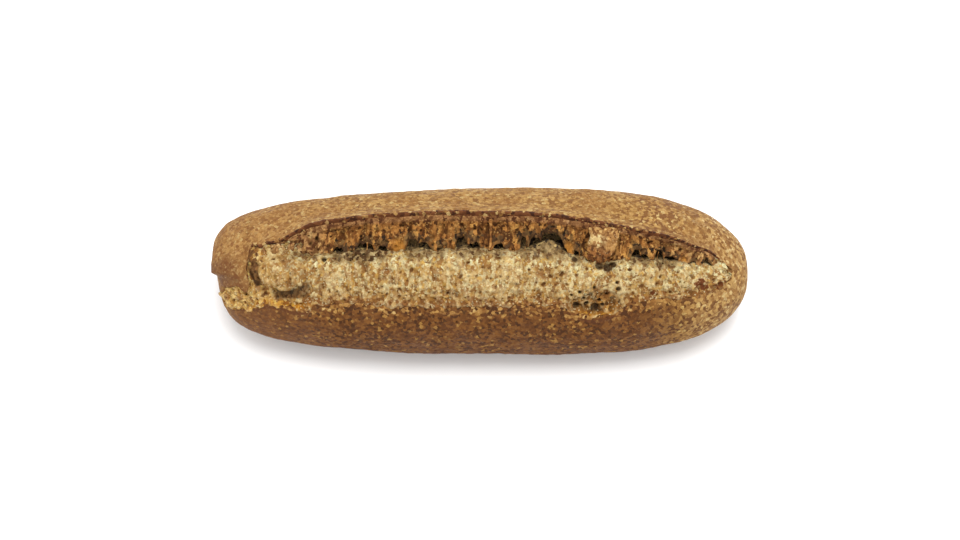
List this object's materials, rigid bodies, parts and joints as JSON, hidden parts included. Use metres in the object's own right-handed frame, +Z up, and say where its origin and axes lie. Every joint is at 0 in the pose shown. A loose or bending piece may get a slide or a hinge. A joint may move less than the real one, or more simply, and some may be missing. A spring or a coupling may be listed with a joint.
{
  "type": "mini baguette",
  "caption": "Short crusty bread loaf with one lengthways cut, a lifted crust ear over torn crumb and a flat underside to rest on.",
  "frame": {"origin": "centre of the bounding box's footprint, on the surface the loaf rests on", "axes": "+X along the loaf, towards the end where the cut closes; -Y towards the open side of the cut; +Z up"},
  "size_m": [0.1898, 0.0594, 0.0479],
  "materials": {
    "crust": "matte baked crust with open crumb in the cut"
  },
  "bodies": {
    "root": {"loaf": "crust"}
  },
  "joints": []
}
